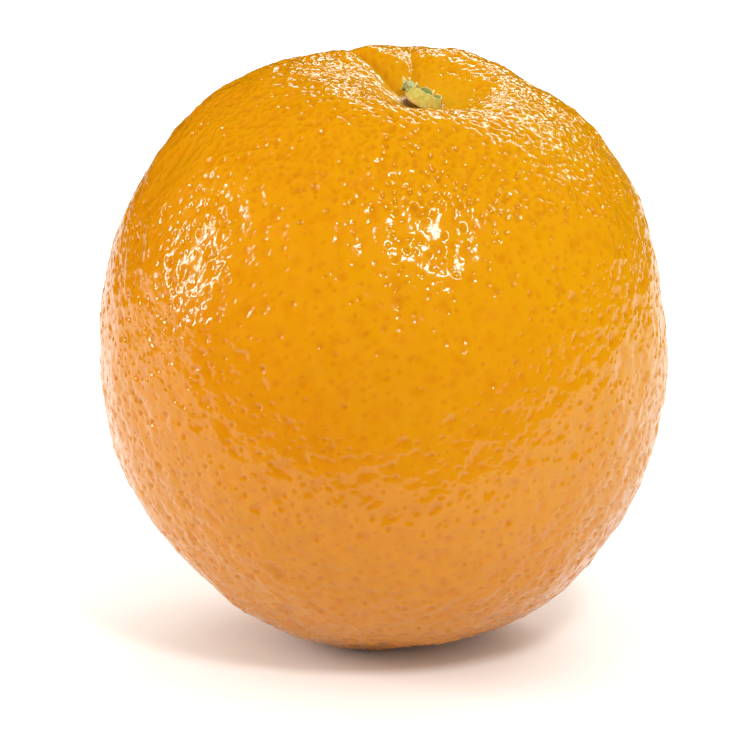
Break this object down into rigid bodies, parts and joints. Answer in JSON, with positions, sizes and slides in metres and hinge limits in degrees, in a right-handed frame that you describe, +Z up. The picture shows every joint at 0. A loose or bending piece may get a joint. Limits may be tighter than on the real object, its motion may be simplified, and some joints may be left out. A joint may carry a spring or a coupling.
{
  "type": "orange",
  "caption": "Whole ripe orange with dimpled glossy peel, a furrowed stem hollow and a green button, resting on a small flat spot with its stem leaning.",
  "frame": {"origin": "on the ground, under the middle of the fruit's box; the resting spot lies in the plane Z = 0", "axes": "+Z up from the resting spot; the front, the side that the stem leans towards, faces -Y; +X is to the right as seen from the front"},
  "size_m": [0.0796, 0.0807, 0.0835],
  "materials": {
    "orange_peel": "waxy, pitted, glossy",
    "green_button": "dry, matte, fibrous"
  },
  "bodies": {
    "root": {"fruit": "orange_peel", "calyx": "green_button"}
  },
  "joints": []
}
